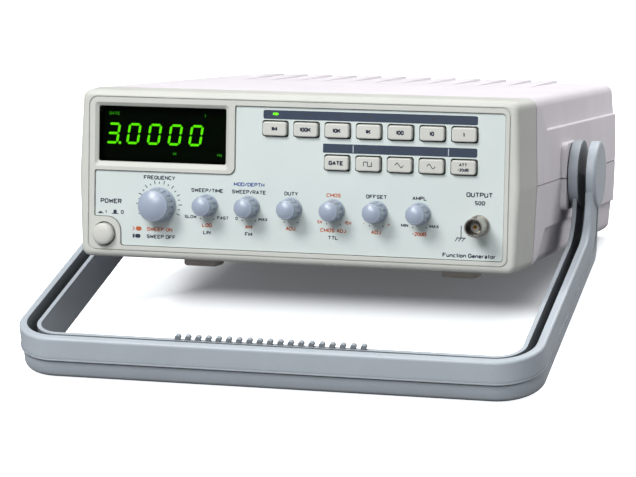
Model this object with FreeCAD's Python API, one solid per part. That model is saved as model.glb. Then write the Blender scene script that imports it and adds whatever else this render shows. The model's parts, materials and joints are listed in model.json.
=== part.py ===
import FreeCAD, Part
import math
import os

# Bench function generator: moulded case, carry handle that doubles as a tilt stand, and a front
# panel with a counter display, push keys, pull-and-turn knobs and an output socket.
# Everything is drawn with x to the right, y running back from the bezel's front face and z up from
# the line where the two covers meet; emit() then moves it to the row frame, whose origin is the
# middle of the front left foot's underside.  All sizes are in mm.

V = FreeCAD.Vector

# ---- case -------------------------------------------------------------------------------------
CASE_DEPTH = 285.0
CASE_HALF_WIDTH = 125.5        # widest, at the split line
BEZEL_DEPTH = 26.3
TOP_Z = 46.5
BOTTOM_Z = -44.0
FOOT_HEIGHT = 11.0
WALL = 2.5
STEP_TOP_Z = 28.8              # where the recessed flank of the top cover starts
STEP_BOTTOM_Z = -25.0
STEP = 1.8                     # how far the flank is set back
STEP_HALF_WIDTH = 124.5
SEAM = 0.25                    # half the width of the visible seam lines
SEAM_DEPTH = 1.0
FRONT_SEAM = 2.2               # width of the groove between bezel and covers
FRONT_SEAM_DEPTH = 1.2
CORNER_R = 5.5
RIB_COUNT = 12
RIB_PITCH = 16.0
RIB_WIDTH = 9.5
RIB_SHIFT = -5.15
RIB_START_Y = 188.0
RIB_HEIGHT = 1.7

# ---- front face -------------------------------------------------------------------------------
FRONT_WALL = 5.0
PANEL_RECESS = 1.0
PANEL_THICK = 1.5
PANEL_BACK = PANEL_RECESS + PANEL_THICK
PANEL = (-112.9, 113.5, -38.3, 39.3)
DISPLAY_FRAME = (-33.7, 2.5)        # right edge and lower edge of the frame that stands in the panel
PANEL_GAP = 0.3
POWER_FRAME = (-97.8, -22.8)        # right edge and upper edge
DISPLAY_MOUTH = (-112.9, -37.1, 4.6, 39.2)
DISPLAY_OPENING = (-110.9, -39.1, 7.4, 37.2)
LENS_Y = 1.7
LENS_THICK = 2.0
DISPLAY_FACE_Y = 6.5
BOARD_Y = 20.0
BOARD_THICK = 1.6

# ---- controls ---------------------------------------------------------------------------------
KEY_PITCH = 17.17
KEY_X0 = -11.4
KEY_ROW_Z = (27.7, 10.6)
KEY_NAMES = (
    "range_1m", "range_100k", "range_10k", "range_1k", "range_100", "range_10", "range_1",
    "gate", "square", "triangle", "sine", "attenuator",
)
KEY_HOLE = (14.6, 8.8)
KEY_CAP = (13.0, 7.4)
KEY_FRONT_Y = -1.6
STEM = 3.0
STEM_HOLE = 3.1
LED_SIZE = (3.5, 1.8)
LED_Z = (35.5, 18.75)

KNOB_Z = -14.6
KNOB_PITCH = 23.45
KNOB_X0 = -48.9
BIG_KNOB = (-76.1, -15.3)
KNOB_NAMES = ("frequency", "sweep_time", "sweep_rate", "duty", "cmos", "offset", "amplitude")
KNOB_DOME = 0.26               # how far the face bulges, as a share of its radius
FLUTE_PITCH = 3.4
FLUTE_R = 0.7
FLUTE_DEPTH = 0.55
SHAFT_R = 3.0
SHAFT_BORE_R = 3.05
SHAFT_FLAT = 2.2
ROTOR_R = 6.45
ROTOR_ROOM_R = 6.5

POWER_XZ = (-107.0, -32.1)
POWER_R = 5.9
POWER_HOLE_R = 6.5
OUTPUT_XZ = (100.4, -19.6)
BNC_R = 4.825
BNC_REACH = 15.0
BNC_LUGS = 10.0

# ---- handle -----------------------------------------------------------------------------------
PIVOT_Y = 117.0
PIVOT_Z = 1.7
HUB_R = 18.75
HUB_FACE_X = 129.0
HUB_OUTER_X = 144.2
HUB_GROOVE = (134.2, 139.0)    # x range of the gap between each hub's two discs
HUB_EDGE_R = 2.0
BOSS = (97.5, 136.5, -17.5, 19.4)    # y and z range of the block the hub sits against
BOSS_R = 4.0
BOSS_FACE_X = 128.35
ARM_OUTER_X = 143.4
ARM_THICK = 12.3
ARM_HEIGHT = 23.5
OUTER_WALL = 4.8
CHANNEL_WIDTH = 5.2
CHANNEL_FLOOR = 4.0
INNER_WALL_DROP = 2.0          # the wall inside the channel is this much lower than the outer one
UPPER_TIER = 12.9
UPPER_INSET = 0.5
BEAD = 0.9                     # the widest part, a narrow bead along the lower edge of the upper tier
BEAD_GROOVE = 0.9              # height and depth of the groove under the bead
LOWER_INSET = 1.2
TOP_EDGE_R = 1.5
BOTTOM_EDGE_R = 2.5
KNEE_ANGLE = 84.0              # short leg, degrees below horizontal
KNEE_LENGTH = 39.6
NECK_FLARE = 1.47              # how much the leg's front half widens up to the hub
KNEE_R = (12.0, 20.0, 26.0)    # bend radii at the bottom edge, the bead and the top edge
REACH_ANGLE = 19.6             # long leg, degrees below horizontal
REACH = 171.5                  # knee to the outside of the crossbar
BAR_CORNER_R = 25.0
PIN_R = 7.0
PIN_BORE_R = 7.05
PIN_END_X = 133.0
PIN_FLANGE_R = 10.5
GRIP_RIBS = 19
GRIP_PITCH = 5.6
GRIP_R = 1.5
GRIP_LENGTH = 2.7
GRIP_RISE = 0.6                # how far the finger ribs stand above the outer wall's top

# ---- feet, screws and boards ------------------------------------------------------------------
FOOT_X = 74.8
FOOT_WIDTH = 19.7
FOOT_LENGTH = 17.0
FOOT_Y = (69.0, 225.0)
SCREW_XY = [(x, y) for y in (50.0, 262.0) for x in (-108.0, 108.0)]
BEZEL_POSTS = [(113.0, 36.5), (113.0, -36.5), (-114.6, 36.5), (-104.0, -8.0)]


# ---- shape helpers ----------------------------------------------------------------------------
def outline(points, radii, place):
    """Closed wire through 2-D points with each corner rounded by its own radius."""
    if not isinstance(radii, (list, tuple)):
        radii = [radii] * len(points)
    corners = []
    for i, (a, b) in enumerate(points):
        here = V(a, b, 0)
        before = V(*points[i - 1], 0) - here
        after = V(*points[(i + 1) % len(points)], 0) - here
        if radii[i] == 0:
            corners.append((here, None, here))
            continue
        before.normalize()
        after.normalize()
        half = before.getAngle(after) / 2
        reach = radii[i] / math.tan(half)
        middle = before + after
        middle.normalize()
        centre = here + middle * (radii[i] / math.sin(half))
        corners.append((here + before * reach, centre - middle * radii[i], here + after * reach))
    edges = []
    for i, (start, mid, end) in enumerate(corners):
        start, end = place(start.x, start.y), place(end.x, end.y)
        if mid is not None:
            edges.append(Part.Arc(start, place(mid.x, mid.y), end).toShape())
        nxt = corners[(i + 1) % len(corners)][0]
        nxt = place(nxt.x, nxt.y)
        if end.distanceToPoint(nxt) > 1e-6:
            edges.append(Part.makeLine(end, nxt))
    return Part.Wire(edges)


def slab(points, radii, y0, y1):
    """Outline in the front view, extruded from depth y0 to y1."""
    wire = outline(points, radii, lambda a, b: V(a, y0, b))
    return Part.Face(wire).extrude(V(0, y1 - y0, 0))


def side_slab(points, radii, x0, x1):
    """Outline in the side view (y, z), extruded across x."""
    wire = outline(points, radii, lambda a, b: V(x0, a, b))
    return Part.Face(wire).extrude(V(x1 - x0, 0, 0))


def rect(x0, x1, z0, z1, grow=0.0):
    return [
        (x0 - grow, z0 - grow), (x1 + grow, z0 - grow),
        (x1 + grow, z1 + grow), (x0 - grow, z1 + grow),
    ]


def about(x, z, width, height):
    return rect(x - width / 2, x + width / 2, z - height / 2, z + height / 2)


def box(x0, x1, y0, y1, z0, z1):
    return Part.makeBox(x1 - x0, y1 - y0, z1 - z0, V(x0, y0, z0))


def rod_y(x, z, radius, y0, y1):
    return Part.makeCylinder(radius, y1 - y0, V(x, y0, z), V(0, 1, 0))


def rod_x(y, z, radius, x0, x1):
    return Part.makeCylinder(radius, x1 - x0, V(x0, y, z), V(1, 0, 0))


def rod_z(x, y, radius, z0, z1):
    return Part.makeCylinder(radius, z1 - z0, V(x, y, z0), V(0, 0, 1))


def turned(x, z, profile):
    """Solid of revolution about the y direction through (x, z); profile is (radius, y) points."""
    points = [V(x + r, y, z) for r, y in profile]
    face = Part.Face(Part.makePolygon(points + points[:1]))
    return face.revolve(V(x, 0, z), V(0, 1, 0), 360)


def join(shapes):
    return shapes[0].multiFuse(shapes[1:]).removeSplitter()


def both_sides(shape):
    return [shape, shape.mirror(V(0, 0, 0), V(1, 0, 0))]


def emit(node, shapes):
    """Move to the row frame (origin under the middle of the front left foot) and save."""
    shape = shapes if not isinstance(shapes, list) else Part.makeCompound(shapes)
    shape = shape.copy()
    shape.translate(V(FOOT_X, -FOOT_Y[0] - FOOT_LENGTH / 2, FOOT_HEIGHT - BOTTOM_Z))
    shape.exportStep("parts/" + node + ".step")


# ---- case -------------------------------------------------------------------------------------
def bezel_section(y, half_mid, half_end, z0, z1):
    points = [
        (-half_end, z0), (half_end, z0), (half_mid, 0),
        (half_end, z1), (-half_end, z1), (-half_mid, 0),
    ]
    return outline(points, [5, 5, 0, 5, 5, 0], lambda a, b: V(a, y, b))


def panel_points(gap):
    x0, x1, z0, z1 = PANEL
    fx, fz = DISPLAY_FRAME
    px, pz = POWER_FRAME
    return [
        (fx + gap, z1 - gap), (x1 - gap, z1 - gap), (x1 - gap, z0 + gap), (px + gap, z0 + gap),
        (px + gap, pz + gap), (x0 + gap, pz + gap), (x0 + gap, fz - gap), (fx + gap, fz - gap),
    ]


PANEL_RADII = [0.8, 2.0, 2.0, 1.5, 8.0, 1.0, 1.0, 3.75]


def front_bezel():
    front = bezel_section(0, 121.7, 119.8, -44.8, 45.8)
    back = bezel_section(BEZEL_DEPTH, CASE_HALF_WIDTH, 123.9, BOTTOM_Z, TOP_Z)
    body = Part.makeLoft([front, back], True, True)
    rim = [e for e in body.Edges if all(abs(v.Point.y) < 1e-6 for v in e.Vertexes)]
    body = body.makeFillet(3.5, rim)
    body = body.cut(slab(rect(-118, 118, -42.0, 43.2), 3, FRONT_WALL, BEZEL_DEPTH + 1))
    groove = slab(rect(-116, 116, -40.9, 42.1, 0.35), 4.85, -1, 0.6)
    groove = groove.cut(slab(rect(-116, 116, -40.9, 42.1, -0.35), 4.15, -1, 0.6))
    mouth = Part.makeLoft(
        [
            outline(rect(*DISPLAY_MOUTH, 0.06), 1.6, lambda a, b: V(a, -0.05, b)),
            outline(rect(*DISPLAY_OPENING), 1.0, lambda a, b: V(a, LENS_Y, b)),
        ],
        True, True,
    )
    cuts = [
        groove,
        mouth,
        slab(panel_points(0), PANEL_RADII, -1, PANEL_BACK),
        box(-30, 109.5, 0, FRONT_WALL + 1, -34.3, 36.9),
        box(-93.5, 109.5, 0, FRONT_WALL + 1, -34.3, -1.5),
        slab(rect(*DISPLAY_OPENING, 1.5), 1.0, LENS_Y, FRONT_WALL + 1),
        rod_y(*POWER_XZ, POWER_HOLE_R, -1, FRONT_WALL + 1),
    ]
    body = body.cut(cuts)
    posts = [rod_y(x, z, 3.4, FRONT_WALL - 0.5, BOARD_Y) for x, z in BEZEL_POSTS]
    body = join([body] + posts)
    return body.cut([rod_y(x, z, 1.3, 8, BOARD_Y + 1) for x, z in BEZEL_POSTS])


def cover(up, z_step, z_end):
    """One cover: up is +1 for the top and -1 for the bottom; z_step and z_end are heights."""
    z_step, z_end = abs(z_step), abs(z_end)
    flank = STEP_HALF_WIDTH - STEP
    narrow = [
        (CASE_HALF_WIDTH, 0), (STEP_HALF_WIDTH, z_step), (flank, z_step), (121.0, z_end),
        (-121.0, z_end), (-flank, z_step), (-STEP_HALF_WIDTH, z_step), (-CASE_HALF_WIDTH, 0),
    ]
    wide = [
        (CASE_HALF_WIDTH, 0), (STEP_HALF_WIDTH, z_step), (123.9, z_end),
        (-123.9, z_end), (-STEP_HALF_WIDTH, z_step), (-CASE_HALF_WIDTH, 0),
    ]
    inner = [
        (122.8, -1), (121.8, z_step - 3), (119.8, z_step), (118.4, z_end - WALL),
        (-118.4, z_end - WALL), (-119.8, z_step), (-121.8, z_step - 3), (-122.8, -1),
    ]

    def flip(points):
        return [(a, b * up) for a, b in points]

    y0, y1 = BEZEL_DEPTH, CASE_DEPTH
    radii = [0, 0.8, 0.4, CORNER_R, CORNER_R, 0.4, 0.8, 0]
    shell = slab(flip(narrow), radii, y0, y1)
    slope = (57.0 - 33.0) / (z_end - z_step)
    nose = side_slab(
        flip([(y0, 0), (57, 0), (57, z_step), (57 - slope * (z_end - z_step + 3), z_end + 3), (y0, z_end + 3)]),
        0, -130, 130,
    )
    shell = join([shell, slab(flip(wide), [0, 0.8, CORNER_R, CORNER_R, 0.8, 0], y0, y1).common(nose)])
    # rounded rear edges
    plan = outline(
        [(-CASE_HALF_WIDTH, y0 - 5), (CASE_HALF_WIDTH, y0 - 5), (CASE_HALF_WIDTH, y1), (-CASE_HALF_WIDTH, y1)],
        [0, 0, 7, 7], lambda a, b: V(a, b, -80),
    )
    side = side_slab(
        flip([(y0 - 5, -5), (y1, -5), (y1, z_end), (y0 - 5, z_end)]), [0, 0, CORNER_R, 0], -130, 130
    )
    shell = shell.common(Part.Face(plan).extrude(V(0, 0, 160))).common(side)
    half = box(-150, 150, 0, CASE_DEPTH, 0, 60) if up > 0 else box(-150, 150, 0, CASE_DEPTH, -60, 0)
    bosses = both_sides(side_slab(rect(*BOSS), BOSS_R, 119, BOSS_FACE_X))
    shell = join([shell] + [boss.common(half) for boss in bosses])
    if up > 0:
        shell = join([shell] + top_ribs(z_end))
    cuts = [
        slab(flip(inner), [0, 0, 0, 3, 3, 0, 0, 0], y0 - 1, y1 - 4),
        slab(flip([(-112, -2), (112, -2), (112, z_end - 8), (-112, z_end - 8)]), [0, 0, 3, 3], y1 - 6, y1 + 1),
        front_seam(y0),
    ]
    for x0, x1 in ((CASE_HALF_WIDTH - SEAM_DEPTH, 130), (-130, SEAM_DEPTH - CASE_HALF_WIDTH)):
        cuts.append(box(x0, x1, y0 - 1, y1 + 1, -SEAM, SEAM))
    cuts += both_sides(rod_x(PIVOT_Y, PIVOT_Z, PIN_BORE_R, 118, 130))
    return shell.cut(cuts)


def front_seam(y0):
    """Ring removed from a cover's front edge so its joint with the bezel shows as a groove."""
    ring = slab(rect(-130, 130, -60, 60), 0, y0 - 1, y0 + FRONT_SEAM)
    half_end, half_mid = 123.9 - FRONT_SEAM_DEPTH, CASE_HALF_WIDTH - FRONT_SEAM_DEPTH
    z0, z1 = BOTTOM_Z + FRONT_SEAM_DEPTH, TOP_Z - FRONT_SEAM_DEPTH
    keep = [(-half_end, z0), (half_end, z0), (half_mid, 0), (half_end, z1), (-half_end, z1), (-half_mid, 0)]
    return ring.cut(slab(keep, [5, 5, 0, 5, 5, 0], y0 - 2, y0 + FRONT_SEAM + 1))


def top_ribs(z):
    """Shallow ramps that rise towards the rear edge of the top."""
    ribs = []
    side = [
        (RIB_START_Y, z - 1), (RIB_START_Y, z), (CASE_DEPTH - 6, z + RIB_HEIGHT),
        (CASE_DEPTH - 1.5, z - 1.2), (CASE_DEPTH - 3, z - 2.4),
    ]
    for i in range(RIB_COUNT):
        x = (i - (RIB_COUNT - 1) / 2) * RIB_PITCH + RIB_SHIFT
        ribs.append(side_slab(side, [0, 0, 4, 0.5, 0], x - RIB_WIDTH / 2, x + RIB_WIDTH / 2))
    return ribs


def top_cover():
    posts = [rod_z(x, y, 4, 0, TOP_Z - 1) for x, y in SCREW_XY]
    body = join([cover(1, STEP_TOP_Z, TOP_Z)] + posts)
    return body.cut([rod_z(x, y, 1.6, -1, 20) for x, y in SCREW_XY])


BOARD_POSTS = [(x, y) for y in (70.0, 240.0) for x in (-98.0, 22.0)]
MAIN_BOARD_Z = -32.0


def bottom_cover():
    posts = [rod_z(x, y, 4, BOTTOM_Z + 1, 0) for x, y in SCREW_XY]
    posts += [rod_z(x, y, 3.5, BOTTOM_Z + 1, MAIN_BOARD_Z) for x, y in BOARD_POSTS]
    body = join([cover(-1, STEP_BOTTOM_Z, BOTTOM_Z)] + posts)
    cuts = [rod_z(x, y, 1.8, BOTTOM_Z - 1, 1) for x, y in SCREW_XY]
    cuts += [rod_z(x, y, 3.4, BOTTOM_Z - 1, -30) for x, y in SCREW_XY]
    cuts += [rod_z(x, y, 1.3, MAIN_BOARD_Z - 9, MAIN_BOARD_Z + 1) for x, y in BOARD_POSTS]
    return body.cut(cuts)


def foot(x, y):
    z0, z1 = BOTTOM_Z - FOOT_HEIGHT, BOTTOM_Z
    wide = box(x - FOOT_WIDTH / 2, x + FOOT_WIDTH / 2, y, y + FOOT_LENGTH, z0, z1)
    upright = [e for e in wide.Edges if abs(e.Vertexes[0].Z - e.Vertexes[-1].Z) > 1]
    wide = wide.makeFillet(3, upright)
    rim = [e for e in wide.Edges if all(abs(v.Z - z0) < 1e-6 for v in e.Vertexes)]
    return wide.makeChamfer(1.0, rim)


# ---- front panel parts ------------------------------------------------------------------------
KNOB_XZ = [BIG_KNOB] + [(KNOB_X0 + KNOB_PITCH * i, KNOB_Z) for i in range(6)]
KEY_XZ = [(KEY_X0 + KEY_PITCH * i, KEY_ROW_Z[0]) for i in range(7)]
KEY_XZ += [(KEY_X0 + KEY_PITCH * i, KEY_ROW_Z[1]) for i in range(2, 7)]
LED_XZ = [(x, LED_Z[0] if z == KEY_ROW_Z[0] else LED_Z[1]) for x, z in KEY_XZ]


def front_panel():
    plate = slab(panel_points(PANEL_GAP), PANEL_RADII, PANEL_RECESS, PANEL_BACK)
    cuts = [slab(about(x, z, *KEY_HOLE), 1.5, 0, 4) for x, z in KEY_XZ]
    cuts += [slab(about(x, z, *LED_SIZE), 0.4, 0, 4) for x, z in LED_XZ]
    cuts += [rod_y(x, z, 3.6, 0, 4) for x, z in KNOB_XZ]
    cuts.append(rod_y(*OUTPUT_XZ, 4.8, 0, 4))
    return plate.cut(cuts)


def key(x, z):
    cap = slab(about(x, z, *KEY_CAP), 1.4, KEY_FRONT_Y, 6.0)
    rim = [e for e in cap.Edges if all(abs(v.Y - KEY_FRONT_Y) < 1e-6 for v in e.Vertexes)]
    cap = cap.makeFillet(0.7, rim)
    stem = slab(about(x, z, STEM, STEM), 0.3, 5.5, 14.0)
    return join([cap, stem])


def key_switch(x, z):
    body = slab(about(x, z, 10.0, 8.0), 0.5, 10.0, BOARD_Y)
    return body.cut(slab(about(x, z, STEM_HOLE, STEM_HOLE), 0.3, 9.0, 17.0))


def knob(x, z, r_base, r_front, length):
    """Tapered knob with a domed face, a low skirt rim and narrow finger flutes."""
    y0 = PANEL_RECESS - 0.6
    y1 = y0 - length
    dome = KNOB_DOME * r_front
    profile = [
        (0, y0), (r_base, y0), (r_base, y0 - 0.9), (r_base - 0.45, y0 - 1.3),
        (r_front + 0.15, y1 + dome + 1.1),
    ]
    for step in range(1, 5):
        turn = math.radians(90 * step / 5)
        profile.append((r_front - 0.9 + 0.9 * math.cos(turn), y1 + dome + 0.9 - 0.9 * math.sin(turn)))
    rim_r = r_front - 0.9
    for step in range(6, -1, -1):
        r = rim_r * step / 6
        profile.append((r, y1 + dome * (r / rim_r) ** 2))
    body = turned(x, z, profile)
    flutes = []
    count = round(2 * math.pi * r_base / FLUTE_PITCH)
    for i in range(count):
        turn = math.radians(360 / count * i + 12)
        reach = (r_base + r_front) / 2 + FLUTE_R - FLUTE_DEPTH
        cx, cz = x + reach * math.sin(turn), z + reach * math.cos(turn)
        flutes.append(rod_y(cx, cz, FLUTE_R, y1 - 1, y0 - 2.2))
    body = body.cut(flutes)
    bore = rod_y(x, z, SHAFT_R + 0.02, -8.0, y0 + 1)
    return body.cut(bore)


def shaft(x, z):
    body = rod_y(x, z, SHAFT_R, -8.0, 24.0)
    return body.cut(box(x - 4, x + 4, 12.5, 25, z + SHAFT_FLAT, z + 4))


def pot_rotor(x, z):
    bore = rod_y(x, z, SHAFT_BORE_R, 13, 18)
    bore = bore.cut(box(x - 4, x + 4, 12, 19, z + SHAFT_FLAT + 0.05, z + 4))
    return rod_y(x, z, ROTOR_R, 13.5, 17.5).cut(bore)


def pot_body(x, z):
    body = rod_y(x, z, 8.0, 12.0, BOARD_Y).fuse(rod_y(x, z, 4.4, 3.2, 12.0)).removeSplitter()
    return body.cut([rod_y(x, z, ROTOR_ROOM_R, 13.0, 18.0), rod_y(x, z, SHAFT_BORE_R, 3, BOARD_Y + 1)])


def front_board():
    plate = slab(rect(-117, 116.5, -40, 40.5), 3, BOARD_Y, BOARD_Y + BOARD_THICK)
    cuts = [rod_y(x, z, 4.0, BOARD_Y - 1, BOARD_Y + 3) for x, z in KNOB_XZ]
    cuts += [rod_y(x, z, 1.5, BOARD_Y - 1, BOARD_Y + 3) for x, z in BEZEL_POSTS]
    cuts.append(rod_y(*POWER_XZ, 4.5, BOARD_Y - 1, BOARD_Y + 3))
    return plate.cut(cuts)


def front_board_screw(x, z):
    back = BOARD_Y + BOARD_THICK
    return join([rod_y(x, z, 1.25, back - 9.0, back), rod_y(x, z, 2.6, back, back + 1.8)])


def power_button():
    x, z = POWER_XZ
    dome = [
        (0, 10.0), (POWER_R, 10.0), (POWER_R, -2.6), (5.5, -3.3),
        (4.6, -3.9), (3.0, -4.3), (1.5, -4.45), (0, -4.5),
    ]
    return join([turned(x, z, dome), rod_y(x, z, 2.5, 9.0, 30.0)])


def power_switch():
    x, z = POWER_XZ
    y0 = BOARD_Y + BOARD_THICK
    body = slab(rect(x - 8, x + 8, z - 6.5, z + 9.5), 1.0, y0, y0 + 20)
    return body.cut(rod_y(x, z, 2.55, y0 - 1, y0 + 16))


def display_module():
    x0, x1, z0, z1 = DISPLAY_OPENING
    return slab(rect(x0 + 0.5, x1 - 0.5, z0 + 0.5, z1 - 0.5), 0.5, DISPLAY_FACE_Y, BOARD_Y)


def bnc_shell(x, z, face, out):
    """Panel socket: face is the panel surface it sits on, out is -1 to the front or +1 to the rear."""
    def at(y):
        return face + out * y

    profile = [
        (4.05, at(BNC_REACH)), (BNC_R, at(BNC_REACH)), (BNC_R, at(1.4)), (5.6, at(1.4)), (5.6, at(0)),
        (4.7, at(0)), (4.7, at(-13)), (2.45, at(-13)), (2.45, at(3)), (4.05, at(3)),
    ]
    lugs = [rod_z(x, at(BNC_LUGS), 0.95, z + side - 0.55, z + side + 0.55) for side in (-4.95, 4.95)]
    return join([turned(x, z, profile)] + lugs)


def bnc_insulator(x, z, face, out):
    ends = sorted((face + out * 10.4, face - out * 13))
    return rod_y(x, z, 2.45, *ends).cut(rod_y(x, z, 1.05, ends[0] - 1, ends[1] + 1))


def bnc_contact(x, z, face, out):
    ends = sorted((face + out * 9.8, face - out * 17))
    mouth = sorted((face + out * 11, face + out * 4))
    return rod_y(x, z, 1.05, *ends).cut(rod_y(x, z, 0.68, *mouth))


def hex_nut(x, z, face, out):
    """Nut behind the panel."""
    turns = [math.radians(60 * i) for i in range(6)]
    points = [(x + 7.3 * math.cos(t), z + 7.3 * math.sin(t)) for t in turns]
    y0, y1 = sorted((face, face - out * 2.6))
    return slab(points, 0, y0, y1).cut(rod_y(x, z, 4.75, y0 - 1, y1 + 1))


# ---- rear and inside --------------------------------------------------------------------------
REAR_Y = CASE_DEPTH - 4.0
REAR_THICK = 2.2
INLET_XZ = (-70.0, -12.0)
REAR_BNC_XZ = [(40.0, -14.0), (75.0, -14.0)]


def rear_panel():
    y0 = REAR_Y - REAR_THICK
    plate = slab(rect(-117, 117, -40.5, 43), 3, y0, REAR_Y)
    cuts = [slab(about(*INLET_XZ, 27.6, 19.8), 2, y0 - 1, REAR_Y + 1)]
    cuts += [rod_y(x, z, 4.8, y0 - 1, REAR_Y + 1) for x, z in REAR_BNC_XZ]
    for i in range(14):
        cuts.append(slab(about(-52 + 8 * i, 22, 3.0, 18.0), 1.4, y0 - 1, REAR_Y + 1))
    return plate.cut(cuts)


def mains_inlet():
    x, z = INLET_XZ
    flange = slab(about(x, z, 34.0, 25.0), 2.5, REAR_Y, REAR_Y + 2.5)
    body = slab(about(x, z, 27.4, 19.6), 2, REAR_Y - 18, REAR_Y)
    body = join([flange, body]).cut(slab(about(x, z, 24.0, 16.0), 2.5, REAR_Y - 14, REAR_Y + 3))
    places = ((-7, -1), (7, -1), (0, 2.5))
    pins = [slab(about(x + dx, z + dz, 2.0, 4.0), 0.3, REAR_Y - 14.5, REAR_Y - 2) for dx, dz in places]
    return join([body] + pins)


def transformer():
    core = box(42, 92, 196, 240, BOTTOM_Z + WALL, -4)
    coil = [box(50, 84, 190, 196, -36, -10), box(50, 84, 240, 246, -36, -10)]
    return join([core] + coil)


def main_board():
    plate = box(-104, 28, 62, 250, MAIN_BOARD_Z, MAIN_BOARD_Z + BOARD_THICK)
    return plate.cut([rod_z(x, y, 1.5, MAIN_BOARD_Z - 1, MAIN_BOARD_Z + 3) for x, y in BOARD_POSTS])


def cover_screw(x, y):
    return join([rod_z(x, y, 3.0, -32.4, -30.0), rod_z(x, y, 1.5, -30.5, 15.0)])


def main_board_screw(x, y):
    top = MAIN_BOARD_Z + BOARD_THICK
    return join([rod_z(x, y, 1.25, top - 9.0, top), rod_z(x, y, 2.6, top, top + 1.8)])


# ---- handle -----------------------------------------------------------------------------------
def along(angle):
    turn = math.radians(angle)
    return (-math.cos(turn), -math.sin(turn)), (-math.sin(turn), math.cos(turn))


LEG_D, LEG_N = along(KNEE_ANGLE)
ARM_D, ARM_N = along(REACH_ANGLE)
KNEE = (PIVOT_Y + LEG_D[0] * KNEE_LENGTH, PIVOT_Z + LEG_D[1] * KNEE_LENGTH)


def mitre(offset):
    """Where the short leg's and the long leg's lines at this offset cross."""
    ax, az = PIVOT_Y + LEG_N[0] * offset, PIVOT_Z + LEG_N[1] * offset
    bx, bz = KNEE[0] + ARM_N[0] * offset, KNEE[1] + ARM_N[1] * offset
    cross = LEG_D[0] * ARM_D[1] - LEG_D[1] * ARM_D[0]
    t = ((bx - ax) * ARM_D[1] - (bz - az) * ARM_D[0]) / cross
    return ax + LEG_D[0] * t, az + LEG_D[1] * t


def at_hub(offset):
    """Point of the line at this offset beside the pivot; lines on the front half spread there."""
    spread = offset * NECK_FLARE if offset > 0 else offset
    return PIVOT_Y + LEG_N[0] * spread, PIVOT_Z + LEG_N[1] * spread


def band(low, high, r_low, r_high, x0, x1):
    """The handle's bent side outline between two offsets, extruded across x."""
    far = REACH + 30
    end = (KNEE[0] + ARM_D[0] * far, KNEE[1] + ARM_D[1] * far)
    points = [
        at_hub(low), mitre(low),
        (end[0] + ARM_N[0] * low, end[1] + ARM_N[1] * low),
        (end[0] + ARM_N[0] * high, end[1] + ARM_N[1] * high), mitre(high), at_hub(high),
    ]
    return side_slab(points, [0, r_low, 0, 0, r_high, 0], x0, x1)


def arch(inset, thick):
    """The U the handle makes seen square on to its long arms, as a tall block to cut bands from."""
    def place(a, b):
        return V(a, KNEE[0] + ARM_D[0] * b - ARM_N[0] * 120, KNEE[1] + ARM_D[1] * b - ARM_N[1] * 120)

    x1, s1 = ARM_OUTER_X - inset, REACH - inset
    x0, s0 = x1 - thick, s1 - thick
    points = [(-x1, -90), (-x1, s1), (x1, s1), (x1, -90), (x0, -90), (x0, s0), (-x0, s0), (-x0, -90)]
    r1 = BAR_CORNER_R - inset
    radii = [0, r1, r1, 0, 0, r1 - thick, r1 - thick, 0]
    return Part.Face(outline(points, radii, place)).extrude(V(0, ARM_N[0] * 240, ARM_N[1] * 240))


def tier(low, high, r_low, r_high, inset):
    x = HUB_OUTER_X + 5
    return band(low, high, r_low, r_high, -x, x).common(arch(inset, ARM_THICK - inset))


def round_outer_edge(shape, offset, bend, inset, radius):
    """Fillet the edge where a tier's outer side meets the bent surface at this offset."""
    near_surface = band(offset - 0.02, offset + 0.02, bend, bend, -160, 160)
    near_side = arch(inset - 0.02, 0.04)
    edges = []
    for edge in shape.Edges:
        middle = edge.valueAt((edge.FirstParameter + edge.LastParameter) / 2)
        if near_surface.isInside(middle, 1e-3, True) and near_side.isInside(middle, 1e-3, True):
            edges.append(edge)
    return shape.makeFillet(radius, edges)


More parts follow.
